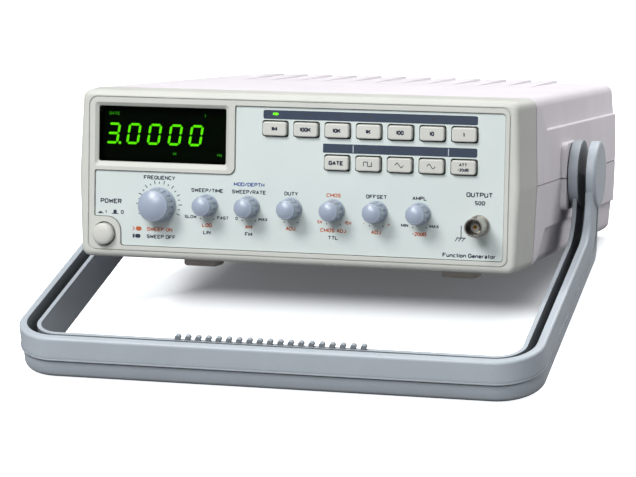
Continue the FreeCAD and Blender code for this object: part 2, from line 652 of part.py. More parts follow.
def handle():
    half = ARM_HEIGHT / 2
    split = half - UPPER_TIER
    r_bottom, r_bead, r_top = KNEE_R
    upper = tier(split, half, r_bead, r_top, UPPER_INSET)
    upper = round_outer_edge(upper, half, r_top, UPPER_INSET, TOP_EDGE_R)
    bead = tier(split, split + BEAD, r_bead, r_bead, 0)
    groove = tier(split - BEAD_GROOVE, split, r_bead, r_bead, LOWER_INSET + BEAD_GROOVE)
    lower = tier(-half, split - BEAD_GROOVE, r_bottom, r_bead, LOWER_INSET)
    lower = round_outer_edge(lower, -half, r_bottom, LOWER_INSET, BOTTOM_EDGE_R)
    body = join([upper, bead, groove, lower])

    floor = -half + CHANNEL_FLOOR
    x = HUB_OUTER_X + 5
    channel = band(floor, half + 6, r_bead, r_top, -x, x).common(arch(OUTER_WALL, CHANNEL_WIDTH))
    inner = OUTER_WALL + CHANNEL_WIDTH
    drop = band(half - INNER_WALL_DROP, half + 6, r_top, r_top, -x, x).common(
        arch(inner - 0.1, ARM_THICK - inner + 1))
    body = body.cut([channel, drop])

    hub = rod_x(PIVOT_Y, PIVOT_Z, HUB_R, HUB_FACE_X, HUB_OUTER_X)
    rim = [e for e in hub.Edges if abs(e.BoundBox.XMin - HUB_OUTER_X) < 1e-6 and e.Length > HUB_R]
    hub = hub.makeFillet(HUB_EDGE_R, rim)
    # the inner side of the short leg is as thick as the hub, up to the bead
    y0, y1 = KNEE[0] - 12, PIVOT_Y + 40
    knee_end = side_slab([(y1, PIVOT_Z), (y1, -90), (y0, -90), (y0, PIVOT_Z)], 0, 120, 140)
    pad = band(-half, split, r_bottom, r_bead, HUB_FACE_X, ARM_OUTER_X - ARM_THICK + 1).common(knee_end)
    body = join([body] + both_sides(hub) + both_sides(pad))

    ring = rod_x(PIVOT_Y, PIVOT_Z, HUB_R + 0.1, *HUB_GROOVE)
    ring = ring.cut(band(-half - 1, floor, r_bottom, r_bead, 120, 150))
    bore = rod_x(PIVOT_Y, PIVOT_Z, PIN_BORE_R, HUB_FACE_X - 1, PIN_END_X + 0.3)
    body = body.cut(both_sides(ring) + both_sides(bore))
    return join([body] + grip_ribs(half))


def grip_ribs(rim):
    """Half-round finger ribs over the crossbar's inner wall; rim is the offset of its outer wall's top."""
    inner = REACH - ARM_THICK
    low = rim + GRIP_RISE - GRIP_R
    foot = [KNEE[k] + ARM_D[k] * (inner - 1) + ARM_N[k] * low for k in (0, 1)]
    ribs = []
    for i in range(GRIP_RIBS):
        x = (i - (GRIP_RIBS - 1) / 2) * GRIP_PITCH
        ribs.append(Part.makeCylinder(GRIP_R, GRIP_LENGTH, V(x, *foot), V(0, *ARM_D)))
    return ribs


def pivot_pin():
    """Pin the handle turns on, kept in the covers by a flange inside them."""
    flange = rod_x(PIVOT_Y, PIVOT_Z, PIN_FLANGE_R, 119.6, 121.8)
    return join([flange, rod_x(PIVOT_Y, PIVOT_Z, PIN_R, 121.5, PIN_END_X)])


# ---- build ------------------------------------------------------------------------------------
os.makedirs("parts", exist_ok=True)

emit("front_bezel", front_bezel())
emit("front_panel", front_panel())
emit("top_cover", top_cover())
emit("bottom_cover", bottom_cover())
emit("rear_panel", rear_panel())
emit("feet", [foot(x * FOOT_X, y) for y in FOOT_Y for x in (-1, 1)])
emit("display_lens", slab(rect(*DISPLAY_OPENING, 1.4), 1.0, LENS_Y, LENS_Y + LENS_THICK))
emit("display_module", display_module())
emit("front_board", front_board())
emit("key_switches", [key_switch(x, z) for x, z in KEY_XZ])
emit("key_lights", [slab(about(x, z, *LED_SIZE), 0.4, PANEL_RECESS, BOARD_Y) for x, z in LED_XZ])
emit("pot_bodies", [pot_body(x, z) for x, z in KNOB_XZ])
emit("power_button", power_button())
emit("power_switch", power_switch())
emit("output_shell", bnc_shell(*OUTPUT_XZ, PANEL_RECESS, -1))
emit("output_contact", bnc_contact(*OUTPUT_XZ, PANEL_RECESS, -1))
emit("output_nut", hex_nut(*OUTPUT_XZ, PANEL_BACK, -1))
emit("rear_socket_shells", [bnc_shell(x, z, REAR_Y, 1) for x, z in REAR_BNC_XZ])
emit("socket_insulators", [bnc_insulator(*OUTPUT_XZ, PANEL_RECESS, -1)]
     + [bnc_insulator(x, z, REAR_Y, 1) for x, z in REAR_BNC_XZ])
emit("mains_inlet", mains_inlet())
emit("main_board", main_board())
emit("board_screws", [front_board_screw(x, z) for x, z in BEZEL_POSTS]
     + [main_board_screw(x, y) for x, y in BOARD_POSTS])
emit("transformer", transformer())
emit("cover_screws", [cover_screw(x, y) for x, y in SCREW_XY])
emit("pivot_pins", both_sides(pivot_pin()))
emit("handle", handle())

for name, (x, z) in zip(KEY_NAMES, KEY_XZ):
    emit("key_" + name, key(x, z))
for name, (x, z) in zip(KNOB_NAMES, KNOB_XZ):
    size = (9.4, 8.4, 13.2) if name == "frequency" else (5.95, 5.2, 12.6)
    emit("knob_" + name, knob(x, z, *size))
    emit("shaft_" + name, shaft(x, z))
    emit("rotor_" + name, pot_rotor(x, z))
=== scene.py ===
import json
import math

import bmesh
import bpy
from mathutils import Matrix, Vector


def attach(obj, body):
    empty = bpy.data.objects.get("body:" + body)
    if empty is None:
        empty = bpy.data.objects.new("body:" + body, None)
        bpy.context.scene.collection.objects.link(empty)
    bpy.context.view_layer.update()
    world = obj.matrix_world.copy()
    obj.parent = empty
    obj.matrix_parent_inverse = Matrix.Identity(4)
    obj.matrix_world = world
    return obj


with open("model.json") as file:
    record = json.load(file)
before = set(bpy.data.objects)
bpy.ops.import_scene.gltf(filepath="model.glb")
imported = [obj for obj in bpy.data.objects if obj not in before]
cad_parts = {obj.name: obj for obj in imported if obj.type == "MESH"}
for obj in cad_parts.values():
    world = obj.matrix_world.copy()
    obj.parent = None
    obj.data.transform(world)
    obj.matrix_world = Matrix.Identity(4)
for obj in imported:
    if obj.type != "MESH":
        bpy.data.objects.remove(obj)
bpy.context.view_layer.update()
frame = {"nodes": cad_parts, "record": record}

NODES = frame["nodes"]

# Sizes below are in millimetres, x to the right, y back from the bezel's front face, z up from
# the line between the covers; at() turns such a point into the row frame, whose origin is the
# middle of the front left foot's underside.
FOOT_X = 74.8
FOOT_Y = 77.5
SPLIT_HEIGHT = 55.0
PANEL_Y = 1.0
KEY_FRONT_Y = -1.6
DIGIT_Y = 6.5
KEY_PITCH = 17.17
KEY_X0 = -11.4
KEY_ROW_Z = (27.7, 10.6)
KNOB_X = [-48.9 + 23.45 * i for i in range(6)]
SCALE_CENTRE = (-76.1, -15.1)
SCALE_STEP = 12.86             # degrees between the marks round the large knob
DIGITS_MIDDLE = (-75.2, 22.2)
DIGIT_PITCH = 11.8
CASE_MIDDLE_Y = 142.5
PRINT_SINK = 0.02              # how far a printed shape reaches into the face it lies on
CORNER_STEPS = 5
DISC_SIDES = 16
SIGN_LINE = 0.42               # line width of the signs on the keys and of the earth sign's legs


def at(x, y, z):
    return Vector((x + FOOT_X, y - FOOT_Y, z + SPLIT_HEIGHT)) / 1000


# ---- materials --------------------------------------------------------------------------------
def srgb(r, g, b):
    """Display colour, 0 to 255, as the linear colour Blender works in."""
    def line(v):
        v = v / 255
        return v / 12.92 if v <= 0.04045 else ((v + 0.055) / 1.055) ** 2.4
    return (line(r), line(g), line(b), 1.0)


def shade(color, k):
    return (color[0] * k, color[1] * k, color[2] * k, 1.0)


def surface(name, color, rough=0.45, metal=0.0, grain=0.9, bump=0.12, vary=0.05, coat=0.0,
            coat_rough=0.3, edge=0.35, stretch=(1, 1, 1), painted_shade=0.0):
    """Principled surface: mottled colour, uneven roughness, a fine grain and softened edges.
    grain is the grain's size and edge the edge radius, both in millimetres; the last argument is
    how strongly painted shade, taken from ambient occlusion, darkens the colour in hollows."""
    mat = bpy.data.materials.new(name)
    mat.use_nodes = True
    tree = mat.node_tree
    tree.nodes.clear()

    def node(kind, **inputs):
        n = tree.nodes.new(kind)
        for key, value in inputs.items():
            n.inputs[key.replace("_", " ")].default_value = value
        return n

    out = node("ShaderNodeOutputMaterial")
    bsdf = node("ShaderNodeBsdfPrincipled", Metallic=metal, Coat_Weight=coat, Coat_Roughness=coat_rough)
    coords = node("ShaderNodeTexCoord")
    mapping = node("ShaderNodeMapping", Scale=stretch)
    tree.links.new(coords.outputs["Object"], mapping.inputs["Vector"])
    fine = node("ShaderNodeTexNoise", Scale=1000 / grain, Detail=3.0, Roughness=0.6)
    broad = node("ShaderNodeTexNoise", Scale=32.0, Detail=4.0, Roughness=0.55)
    for tex in (fine, broad):
        tree.links.new(mapping.outputs["Vector"], tex.inputs["Vector"])

    tint = node("ShaderNodeValToRGB")
    tint.color_ramp.elements[0].position = 0.3
    tint.color_ramp.elements[1].position = 0.7
    tint.color_ramp.elements[0].color = shade(color, 1 - vary)
    tint.color_ramp.elements[1].color = shade(color, 1 + vary)
    blend = node("ShaderNodeMix", Factor=0.35)
    tree.links.new(broad.outputs["Fac"], blend.inputs[2])
    tree.links.new(fine.outputs["Fac"], blend.inputs[3])
    tree.links.new(blend.outputs[0], tint.inputs["Fac"])
    paint = tint.outputs["Color"]
    # painted shade: the colour is mixed towards its ambient-occluded copy, so hollows and channels darken
    if painted_shade:
        hollow = node("ShaderNodeAmbientOcclusion", Distance=0.012)
        hollow.samples = 6
        tree.links.new(paint, hollow.inputs["Color"])
        dark = node("ShaderNodeMix", Factor=painted_shade)
        dark.data_type = "RGBA"
        colors = [i for i in dark.inputs if i.type == "RGBA"]
        tree.links.new(paint, colors[0])
        tree.links.new(hollow.outputs["Color"], colors[1])
        paint = next(o for o in dark.outputs if o.type == "RGBA")
    tree.links.new(paint, bsdf.inputs["Base Color"])

    wear = node("ShaderNodeMapRange")
    wear.inputs["To Min"].default_value = max(rough - 0.06, 0.03)
    wear.inputs["To Max"].default_value = min(rough + 0.06, 1.0)
    tree.links.new(broad.outputs["Fac"], wear.inputs["Value"])
    tree.links.new(wear.outputs["Result"], bsdf.inputs["Roughness"])

    ridge = node("ShaderNodeBump", Strength=bump, Distance=0.0001)
    tree.links.new(fine.outputs["Fac"], ridge.inputs["Height"])
    if edge:
        soft = node("ShaderNodeBevel", Radius=edge / 1000)
        soft.samples = 4
        tree.links.new(soft.outputs["Normal"], ridge.inputs["Normal"])
    tree.links.new(ridge.outputs["Normal"], bsdf.inputs["Normal"])
    tree.links.new(bsdf.outputs["BSDF"], out.inputs["Surface"])
    return mat


def glow(name, color, strength):
    """Lit diffuser, whose light follows the mottled colour so that it isn't a flat patch."""
    mat = surface(name, color, rough=0.4, edge=0)
    bsdf = next(n for n in mat.node_tree.nodes if n.type == "BSDF_PRINCIPLED")
    ramp = next(n for n in mat.node_tree.nodes if n.type == "VALTORGB")
    mat.node_tree.links.new(ramp.outputs["Color"], bsdf.inputs["Emission Color"])
    bsdf.inputs["Emission Strength"].default_value = strength
    return mat


def tinted_lens(name):
    """Dark see-through acrylic with a faint surface reflection."""
    mat = surface(name, srgb(1, 1, 1), rough=0.12, edge=0, bump=0.02)
    tree = mat.node_tree
    bsdf = next(n for n in tree.nodes if n.type == "BSDF_PRINCIPLED")
    out = next(n for n in tree.nodes if n.type == "OUTPUT_MATERIAL")
    bsdf.inputs["Specular IOR Level"].default_value = 0.05
    clear = tree.nodes.new("ShaderNodeBsdfTransparent")
    clear.inputs["Color"].default_value = (0.66, 0.8, 0.66, 1)
    mix = tree.nodes.new("ShaderNodeMixShader")
    mix.inputs["Fac"].default_value = 0.35
    tree.links.new(clear.outputs["BSDF"], mix.inputs[1])
    tree.links.new(bsdf.outputs["BSDF"], mix.inputs[2])
    tree.links.new(mix.outputs["Shader"], out.inputs["Surface"])
    return mat


MAT = {
    "bezel": surface("bezel_plastic", srgb(199, 200, 193), rough=0.5, grain=0.8, bump=0.12, edge=0.5),
    "panel": surface("panel_print", srgb(207, 216, 213), rough=0.42, grain=0.55, bump=0.08, vary=0.03),
    "cover": surface("cover_plastic", srgb(224, 219, 224), rough=0.6, grain=0.9, bump=0.25, edge=0.5),
    "plate": surface("rear_paint", srgb(178, 178, 180), rough=0.45, grain=0.6, bump=0.15),
    "foot": surface("foot_rubber", srgb(200, 192, 181), rough=0.8, grain=1.1, bump=0.35),
    "lens": tinted_lens("display_lens"),
    "black": surface("black_plastic", srgb(18, 18, 19), rough=0.5, grain=0.7, bump=0.15),
    "board": surface("board_laminate", srgb(38, 96, 58), rough=0.4, grain=0.4, bump=0.2, vary=0.12),
    "steel": surface("zinc_steel", srgb(196, 197, 200), rough=0.3, metal=1.0, grain=0.3, bump=0.1),
    "tinted": surface("light_bar", srgb(66, 76, 84), rough=0.25, grain=0.5, bump=0.05),
    "nickel": surface("nickel_plate", srgb(178, 174, 166), rough=0.3, metal=1.0, grain=0.25, bump=0.08,
                      edge=0.15),
    "key": surface("key_plastic", srgb(202, 202, 195), rough=0.35, grain=0.7, bump=0.06, edge=0.25),
    "knob": surface("knob_plastic", srgb(156, 167, 184), rough=0.34, grain=0.6, bump=0.05, coat=0.35,
                    coat_rough=0.3, edge=0.2),
    "insulator": surface("socket_insulator", srgb(128, 124, 118), rough=0.5, grain=0.5, bump=0.05),
    "gold": surface("contact_gold", srgb(214, 178, 96), rough=0.25, metal=1.0, grain=0.2, bump=0.05,
                    edge=0.1),
    "core": surface("transformer_core", srgb(84, 80, 76), rough=0.5, grain=0.5, bump=0.5, stretch=(1, 1, 8)),
    # the handle gets painted shade in its channels and hollows
    "handle": surface("handle_plastic", srgb(179, 187, 194), rough=0.42, grain=0.9, bump=0.12, edge=0.6,
                      painted_shade=0.85),
}
INK = {
    "navy": surface("ink_navy", srgb(34, 42, 62), rough=0.5, grain=0.3, bump=0.03, edge=0),
    "orange": surface("ink_orange", srgb(186, 92, 44), rough=0.5, grain=0.3, bump=0.03, edge=0),
    "blue": surface("ink_blue", srgb(62, 88, 150), rough=0.5, grain=0.3, bump=0.03, edge=0),
    "white": surface("ink_white", srgb(176, 186, 196), rough=0.5, grain=0.3, bump=0.03, edge=0),
    "slate": surface("ink_slate", srgb(50, 62, 80), rough=0.42, grain=0.5, bump=0.06, edge=0),
    "brown": surface("lamp_off", srgb(66, 62, 60), rough=0.3, grain=0.3, bump=0.03, edge=0),
    "lit": glow("segment_lit", srgb(122, 255, 12), 3.0),
    "lamp": glow("lamp_lit", srgb(96, 235, 0), 1.1),
    "dim": glow("annunciator_lit", srgb(70, 170, 34), 1.6),
}

for sub in frame["record"]["subparts"]:
    obj = NODES[sub["node"]]
    obj.data.materials.clear()
    obj.data.materials.append(MAT[sub["material_slot"]])


# ---- printed and lit pieces -------------------------------------------------------------------
MITRE_LIMIT = 1.5
LETTER_GAP = 1.75
LETTER_STRETCH = 1.22
# plain lettering: each letter's pen lines as grid points, first x from 0 to 5, then height from 0 to 6
GLYPHS = {
    " ": "", "A": "00 26 40, 12 32", "B": "00 06 36 45 44 33 03, 33 42 41 30 00",
    "C": "45 36 16 05 01 10 30 41", "D": "00 06 26 45 41 20 00", "E": "46 06 00 40, 03 33",
    "F": "46 06 00, 03 33", "G": "45 36 16 05 01 10 30 41 43 23", "H": "00 06, 40 46, 03 43",
    "I": "00 06", "J": "36 31 20 10 01", "K": "00 06, 46 02, 14 40", "L": "06 00 40",
    "M": "00 06 22 32 56 50", "N": "00 06 40 46", "O": "16 05 01 10 30 41 45 36 16",
    "P": "00 06 36 45 44 33 03", "Q": "16 05 01 10 30 41 45 36 16, 22 40",
    "R": "00 06 36 45 44 33 03, 23 40", "S": "45 36 16 05 04 13 33 42 41 30 10 01",
    "T": "06 46, 26 20", "U": "06 01 10 30 41 46", "V": "06 20 46", "W": "06 10 24 34 40 56",
    "X": "06 40, 00 46", "Y": "06 23 46, 23 20", "0": "16 05 01 10 20 31 35 26 16", "1": "05 16 10",
    "2": "05 16 26 35 34 00 30", "5": "36 06 03 23 32 31 20 00",
    "a": "04 24 33 30, 32 12 01 10 20 31", "c": "34 14 03 01 10 30",
    "d": "36 30, 33 24 14 03 01 10 20 31", "e": "02 32 33 24 14 03 01 10 30", "i": "00 04, 05 06",
    "n": "00 04, 03 14 24 33 30", "o": "14 03 01 10 20 31 33 24 14", "r": "00 04, 03 14 24",
    "t": "16 11 20, 04 24", "u": "04 01 10 20 31, 34 30", "z": "04 34 00 30", "/": "00 36",
    "-": "03 23", "+": "03 43, 21 25", "Ω": "00 10 12 03 05 16 36 45 43 32 30 40",
}


def glyph_width(letter):
    return max([int(p[0]) for p in GLYPHS[letter].replace(",", "").split()], default=1)


class Print:
    """Flat artwork gathered into one mesh: each shape is a thin closed prism on a front face."""

    def __init__(self, y, thick=0.06):
        self.bm = bmesh.new()
        self.y = y
        self.thick = thick

    def prism(self, points):
        """Closed prism of a simple outline given as (x, z) points."""
        area = sum(a[0] * b[1] - b[0] * a[1] for a, b in zip(points, points[1:] + points[:1]))
        if area < 0:
            points = points[::-1]
        front = [self.bm.verts.new(at(x, self.y - self.thick, z)) for x, z in points]
        back = [self.bm.verts.new(at(x, self.y + PRINT_SINK, z)) for x, z in points]
        self.bm.faces.new(front)
        self.bm.faces.new(back[::-1])
        for i in range(len(points)):
            j = (i + 1) % len(points)
            self.bm.faces.new((front[j], front[i], back[i], back[j]))

    def stroke(self, points, width):
        """Constant-width line through the points, mitred at the bends; closed if it ends where it starts."""
        closed = points[0] == points[-1]
        points = [Vector(p) for p in (points[:-1] if closed else points)]
        count = len(points)
        rings = []
        for i, p in enumerate(points):
            before = points[i - 1] if closed or i > 0 else None
            after = points[(i + 1) % count] if closed or i < count - 1 else None
            ways = [(b - a).normalized() for a, b in ((before, p), (p, after))
                    if a is not None and b is not None]
            normals = [Vector((-d.y, d.x)) for d in ways]
            side = sum(normals, Vector((0, 0))).normalized()
            side *= min(1 / max(side.dot(normals[0]), 0.1), MITRE_LIMIT) * width / 2
            rings.append([self.bm.verts.new(at(q.x, y, q.y)) for q, y in (
                (p + side, self.y - self.thick), (p - side, self.y - self.thick),
                (p - side, self.y + PRINT_SINK), (p + side, self.y + PRINT_SINK))])
        for i in range(count if closed else count - 1):
            a, b = rings[i], rings[(i + 1) % count]
            for k in range(4):
                self.bm.faces.new((a[k], b[k], b[(k + 1) % 4], a[(k + 1) % 4]))
        if not closed:
            self.bm.faces.new(rings[0])
            self.bm.faces.new(rings[-1][::-1])

    def bar(self, x0, x1, z0, z1, radii=(0, 0, 0, 0)):
        """Rectangle with its own radius at lower left, lower right, upper right, upper left."""
        points = []
        corners = ((x0, z0, 180), (x1, z0, 270), (x1, z1, 0), (x0, z1, 90))
        for (x, z, start), r in zip(corners, radii):
            if r == 0:
                points.append((x, z))
                continue
            cx = x + r if x == x0 else x - r
            cz = z + r if z == z0 else z - r
            for k in range(CORNER_STEPS + 1):
                a = math.radians(start + 90 / CORNER_STEPS * k)
                points.append((cx + r * math.cos(a), cz + r * math.sin(a)))
        self.prism(points)

    def disc(self, x, z, r):
        turns = [math.radians(360 / DISC_SIDES * i) for i in range(DISC_SIDES)]
        self.prism([(x + r * math.cos(t), z + r * math.sin(t)) for t in turns])

    def text(self, words, x, z, cap, align="CENTER", weight=0.22):
        """Lettering of the given cap height centred on height z."""
        unit = cap * (1 - weight) / 6
        across = unit * LETTER_STRETCH
        widths = [glyph_width(c) for c in words]
        total = sum(widths) + LETTER_GAP * (len(words) - 1)
        x0 = x - total * across / 2 if align == "CENTER" else x
        for c, wide in zip(words, widths):
            for line in GLYPHS[c].split(", "):
                if line:
                    path = [Vector((x0 + int(p[0]) * across, z + (int(p[1]) - 3) * unit))
                            for p in line.split()]
                    self.pen(path, cap * weight)
            x0 += (wide + LETTER_GAP) * across

    def pen(self, path, width):
        """One pen line of a letter, broken into separate strokes where it doubles back sharply."""
        run = path[:1]
        for i in range(1, len(path)):
            run.append(path[i])
            if i < len(path) - 1 and (path[i] - path[i - 1]).dot(path[i + 1] - path[i]) < 0:
                self.stroke(run, width)
                run = [path[i]]
        self.stroke(run, width)

    def done(self, name, material, body):
        bmesh.ops.remove_doubles(self.bm, verts=self.bm.verts, dist=1e-7)
        bmesh.ops.recalc_face_normals(self.bm, faces=self.bm.faces)
        mesh = bpy.data.meshes.new(name)
        self.bm.to_mesh(mesh)
        self.bm.free()
        obj = bpy.data.objects.new(name, mesh)
        bpy.context.scene.collection.objects.link(obj)
        mesh.materials.append(material)
        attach(obj, body)


# lamp strips over the two key rows
strips = Print(PANEL_Y, 0.05)
strips.bar(-18.2, 98.5, 32.75, 37.5, (1, 1, 1, 1))
strips.bar(15.0, 98.5, 15.8, 20.6, (0, 1, 1, 0))
strips.done("lamp_strips", INK["slate"], "case")

splits = Print(PANEL_Y - 0.05, 0.05)
for x in (31.5, 83.1):
    splits.bar(x - 0.25, x + 0.25, 16.3, 20.1)
splits.done("strip_dividers", INK["white"], "case")

lamps = Print(PANEL_Y - 0.05, 0.05)
for i in range(1, 7):
    lamps.bar(KEY_X0 + KEY_PITCH * i - 0.9, KEY_X0 + KEY_PITCH * i + 0.9, 35.2, 35.8, (0.2, 0.2, 0.2, 0.2))
for i in range(2, 7):
    lamps.bar(KEY_X0 + KEY_PITCH * i - 0.5, KEY_X0 + KEY_PITCH * i + 0.5, 18.5, 19.1, (0.2, 0.2, 0.2, 0.2))
lamps.done("lamps_off", INK["brown"], "case")

lit = Print(PANEL_Y - 0.05, 0.12)
lit.bar(KEY_X0 - 1.5, KEY_X0 + 1.5, 34.9, 36.1, (0.5, 0.5, 0.5, 0.5))
lit.done("lamp_on", INK["lamp"], "case")

# panel legends: words, x, z, cap height, alignment
LEGENDS = {
    "navy": [
        ("FREQUENCY", -76.1, -0.8, 2.2, "CENTER"), ("SWEEP/TIME", -49.0, -6.7, 2.1, "CENTER"),
        ("SWEEP/RATE", -25.6, -6.7, 2.1, "CENTER"), ("DUTY", -2.1, -6.7, 2.1, "CENTER"),
        ("OFFSET", 44.7, -6.6, 2.1, "CENTER"), ("AMPL", 68.1, -6.6, 2.1, "CENTER"),
        ("OUTPUT", 100.2, -3.6, 2.6, "CENTER"), ("50Ω", 100.6, -7.9, 2.3, "CENTER"),
        ("SLOW", -58.2, -21.1, 1.8, "CENTER"), ("FAST", -40.0, -21.2, 1.8, "CENTER"),
        ("LIN", -48.9, -29.3, 2.1, "CENTER"), ("FM", -25.5, -29.3, 2.1, "CENTER"),
        ("TTL", 21.4, -29.3, 2.1, "CENTER"), ("0", -32.3, -21.1, 1.8, "CENTER"),
        ("MAX", -17.5, -21.1, 1.8, "CENTER"), ("MIN", 60.3, -21.1, 1.8, "CENTER"),
        ("MAX", 76.3, -21.1, 1.8, "CENTER"), ("SWEEP OFF", -82.75, -32.75, 2.1, "LEFT"),
        ("POWER", -103.6, -14.3, 2.6, "CENTER"), ("Function Generator", 95.3, -35.7, 2.3, "CENTER"),
        ("I", -106.4, -20.2, 2.0, "CENTER"), ("O", -97.1, -20.2, 2.0, "CENTER"),
    ],
    "orange": [
        ("CMOS", 21.3, -6.7, 2.1, "CENTER"), ("LOG", -48.9, -25.4, 2.1, "CENTER"),
        ("AM", -25.5, -25.4, 2.1, "CENTER"), ("ADJ", -2.1, -25.4, 2.1, "CENTER"),
        ("CMOS ADJ", 21.4, -25.4, 2.1, "CENTER"), ("ADJ", 44.8, -25.4, 2.1, "CENTER"),
        ("-20dB", 68.3, -25.4, 2.1, "CENTER"), ("5V", 14.0, -21.1, 1.8, "CENTER"),
        ("15V", 29.6, -21.1, 1.8, "CENTER"), ("-", 38.1, -21.1, 1.8, "CENTER"),
        ("+", 51.75, -21.1, 1.8, "CENTER"), ("SWEEP ON", -82.75, -28.75, 2.1, "LEFT"),
    ],
    "blue": [("MOD/DEPTH", -25.6, -2.7, 2.1, "CENTER")],
}
for ink, rows in LEGENDS.items():
    art = Print(PANEL_Y, 0.04)
    for words, x, z, cap, align in rows:
        art.text(words, x, z, cap, align)
    if ink == "navy":
        # scale round the large knob, long and short marks in turn
        for i in range(-9, 10):
            a = math.radians(SCALE_STEP * i)
            r1 = 13.0 if i % 2 else 12.1
            art.stroke([(SCALE_CENTRE[0] + r * math.sin(a), SCALE_CENTRE[1] + r * math.cos(a))
                        for r in (11.0, r1)], 0.45)
        for x in KNOB_X:
            for dx in (-3.7, 3.7):
                art.disc(x + dx, -22.0, 0.35)
        # earth sign beside the socket
        art.stroke([(90.8, -20.0), (90.8, -26.4)], 0.45)
        art.stroke([(88.3, -26.5), (93.3, -26.5)], 0.5)
        for x in (88.9, 90.8, 92.7):
            art.stroke([(x, -26.6), (x - 1.3, -28.3)], SIGN_LINE)
        # latched-in and released signs for the mains button
        art.stroke([(-111.3, -21.1), (-107.9, -21.1)], 0.4)
        art.bar(-110.4, -108.8, -21.0, -20.2)
        art.stroke([(-103.2, -21.1), (-99.3, -21.1)], 0.4)
        art.bar(-102.2, -100.3, -21.0, -19.0, (0, 0, 0.6, 0.6))
        art.bar(-89.6, -86.6, -33.8, -31.7, (0.8, 0.8, 0.8, 0.8))
        art.bar(-91.0, -89.9, -33.8, -31.7)
    if ink == "orange":
        art.bar(-89.2, -86.0, -29.9, -27.6, (1, 1, 1, 1))
        art.stroke([(-91.0, -29.9), (-90.0, -28.75), (-91.0, -27.6)], 0.45)
    art.done("legends_" + ink, INK[ink], "case")

# key legends ride on their own keys
KEY_WORDS = [
    ("range_1m", "1M"), ("range_100k", "100K"), ("range_10k", "10K"), ("range_1k", "1K"),
    ("range_100", "100"), ("range_10", "10"), ("range_1", "1"), ("gate", "GATE"),
    ("square", None), ("triangle", None), ("sine", None), ("attenuator", None),
]
for index, (name, words) in enumerate(KEY_WORDS):
    row = 0 if index < 7 else 1
    x = KEY_X0 + KEY_PITCH * (index if row == 0 else index - 5)
    z = KEY_ROW_Z[row]
    art = Print(KEY_FRONT_Y, 0.04)
    if words:
        art.text(words, x, z, 2.4, weight=0.28)
    elif name == "square":
        for a, b in (((-2.2, -1.1), (-2.2, 1.1)), ((-2.2, 1.1), (0, 1.1)), ((0, 1.1), (0, -1.1)),
                     ((0, -1.1), (2.2, -1.1)), ((2.2, -1.1), (2.2, 1.1))):
            art.stroke([(x + a[0], z + a[1]), (x + b[0], z + b[1])], SIGN_LINE)
    elif name == "triangle":
        wave = [(x + a, z + b) for a, b in ((-2.4, 0.0), (-1.2, 1.3), (1.2, -1.3), (2.4, 0.0))]
        art.stroke(wave, SIGN_LINE)
    elif name == "sine":
        wave = [(x + 4.4 * (t / 20 - 0.5), z + 1.2 * math.sin(math.tau * t / 20)) for t in range(21)]
        art.stroke(wave, SIGN_LINE)
    else:
        art.text("ATT", x, z + 1.4, 1.7, weight=0.26)
        art.text("-20dB", x, z - 1.3, 1.7, weight=0.26)
    art.done("legend_" + name, INK["navy"], "key_" + name)


# ---- display ----------------------------------------------------------------------------------
DIGIT_W, DIGIT_H, SEG, GAP = 7.2, 11.4, 1.25, 0.28
SLANT = math.tan(math.radians(9))
SEGMENTS = {
    "a": ((0, 2), (1, 2)), "g": ((0, 1), (1, 1)), "d": ((0, 0), (1, 0)),
    "f": ((0, 1), (0, 2)), "b": ((1, 1), (1, 2)), "e": ((0, 0), (0, 1)), "c": ((1, 0), (1, 1)),
}
SHAPES = {"3": "abgcd", "0": "abcdef"}


def segment(art, x, z, name):
    """One bar of a digit, with pointed ends, leaning with the digit."""
    (ax, az), (bx, bz) = SEGMENTS[name]
    w, h = DIGIT_W - SEG, (DIGIT_H - SEG) / 2
    ax, bx = (ax - 0.5) * w, (bx - 0.5) * w
    az, bz = (az - 1) * h, (bz - 1) * h
    d = Vector((bx - ax, bz - az)).normalized()
    n = Vector((-d.y, d.x)) * SEG / 2
    a = Vector((ax, az)) + d * GAP
    b = Vector((bx, bz)) - d * GAP
    k = SEG / 2
    points = [a, a + d * k + n, b - d * k + n, b, b - d * k - n, a + d * k - n]
    art.prism([(x + p.x + p.y * SLANT, z + p.y) for p in points])


digits = Print(DIGIT_Y, 0.25)
for i, figure in enumerate("30000"):
    x = DIGITS_MIDDLE[0] + DIGIT_PITCH * (i - 2.5)
    for name in SHAPES[figure]:
        segment(digits, x, DIGITS_MIDDLE[1], name)
digits.disc(DIGITS_MIDDLE[0] + DIGIT_PITCH * -2.5 + 3.8, DIGITS_MIDDLE[1] - DIGIT_H / 2 + 0.6, 0.75)
digits.done("digits_lit", INK["lit"], "case")

signs = Print(DIGIT_Y, 0.2)
for words, x, z in (("GATE", -104.0, 33.0), ("1", -52.5, 33.0), ("M", -69.5, 12.0), ("Hz", -44.0, 12.1)):
    signs.text(words, x, z, 1.7)
signs.done("annunciators", INK["dim"], "case")


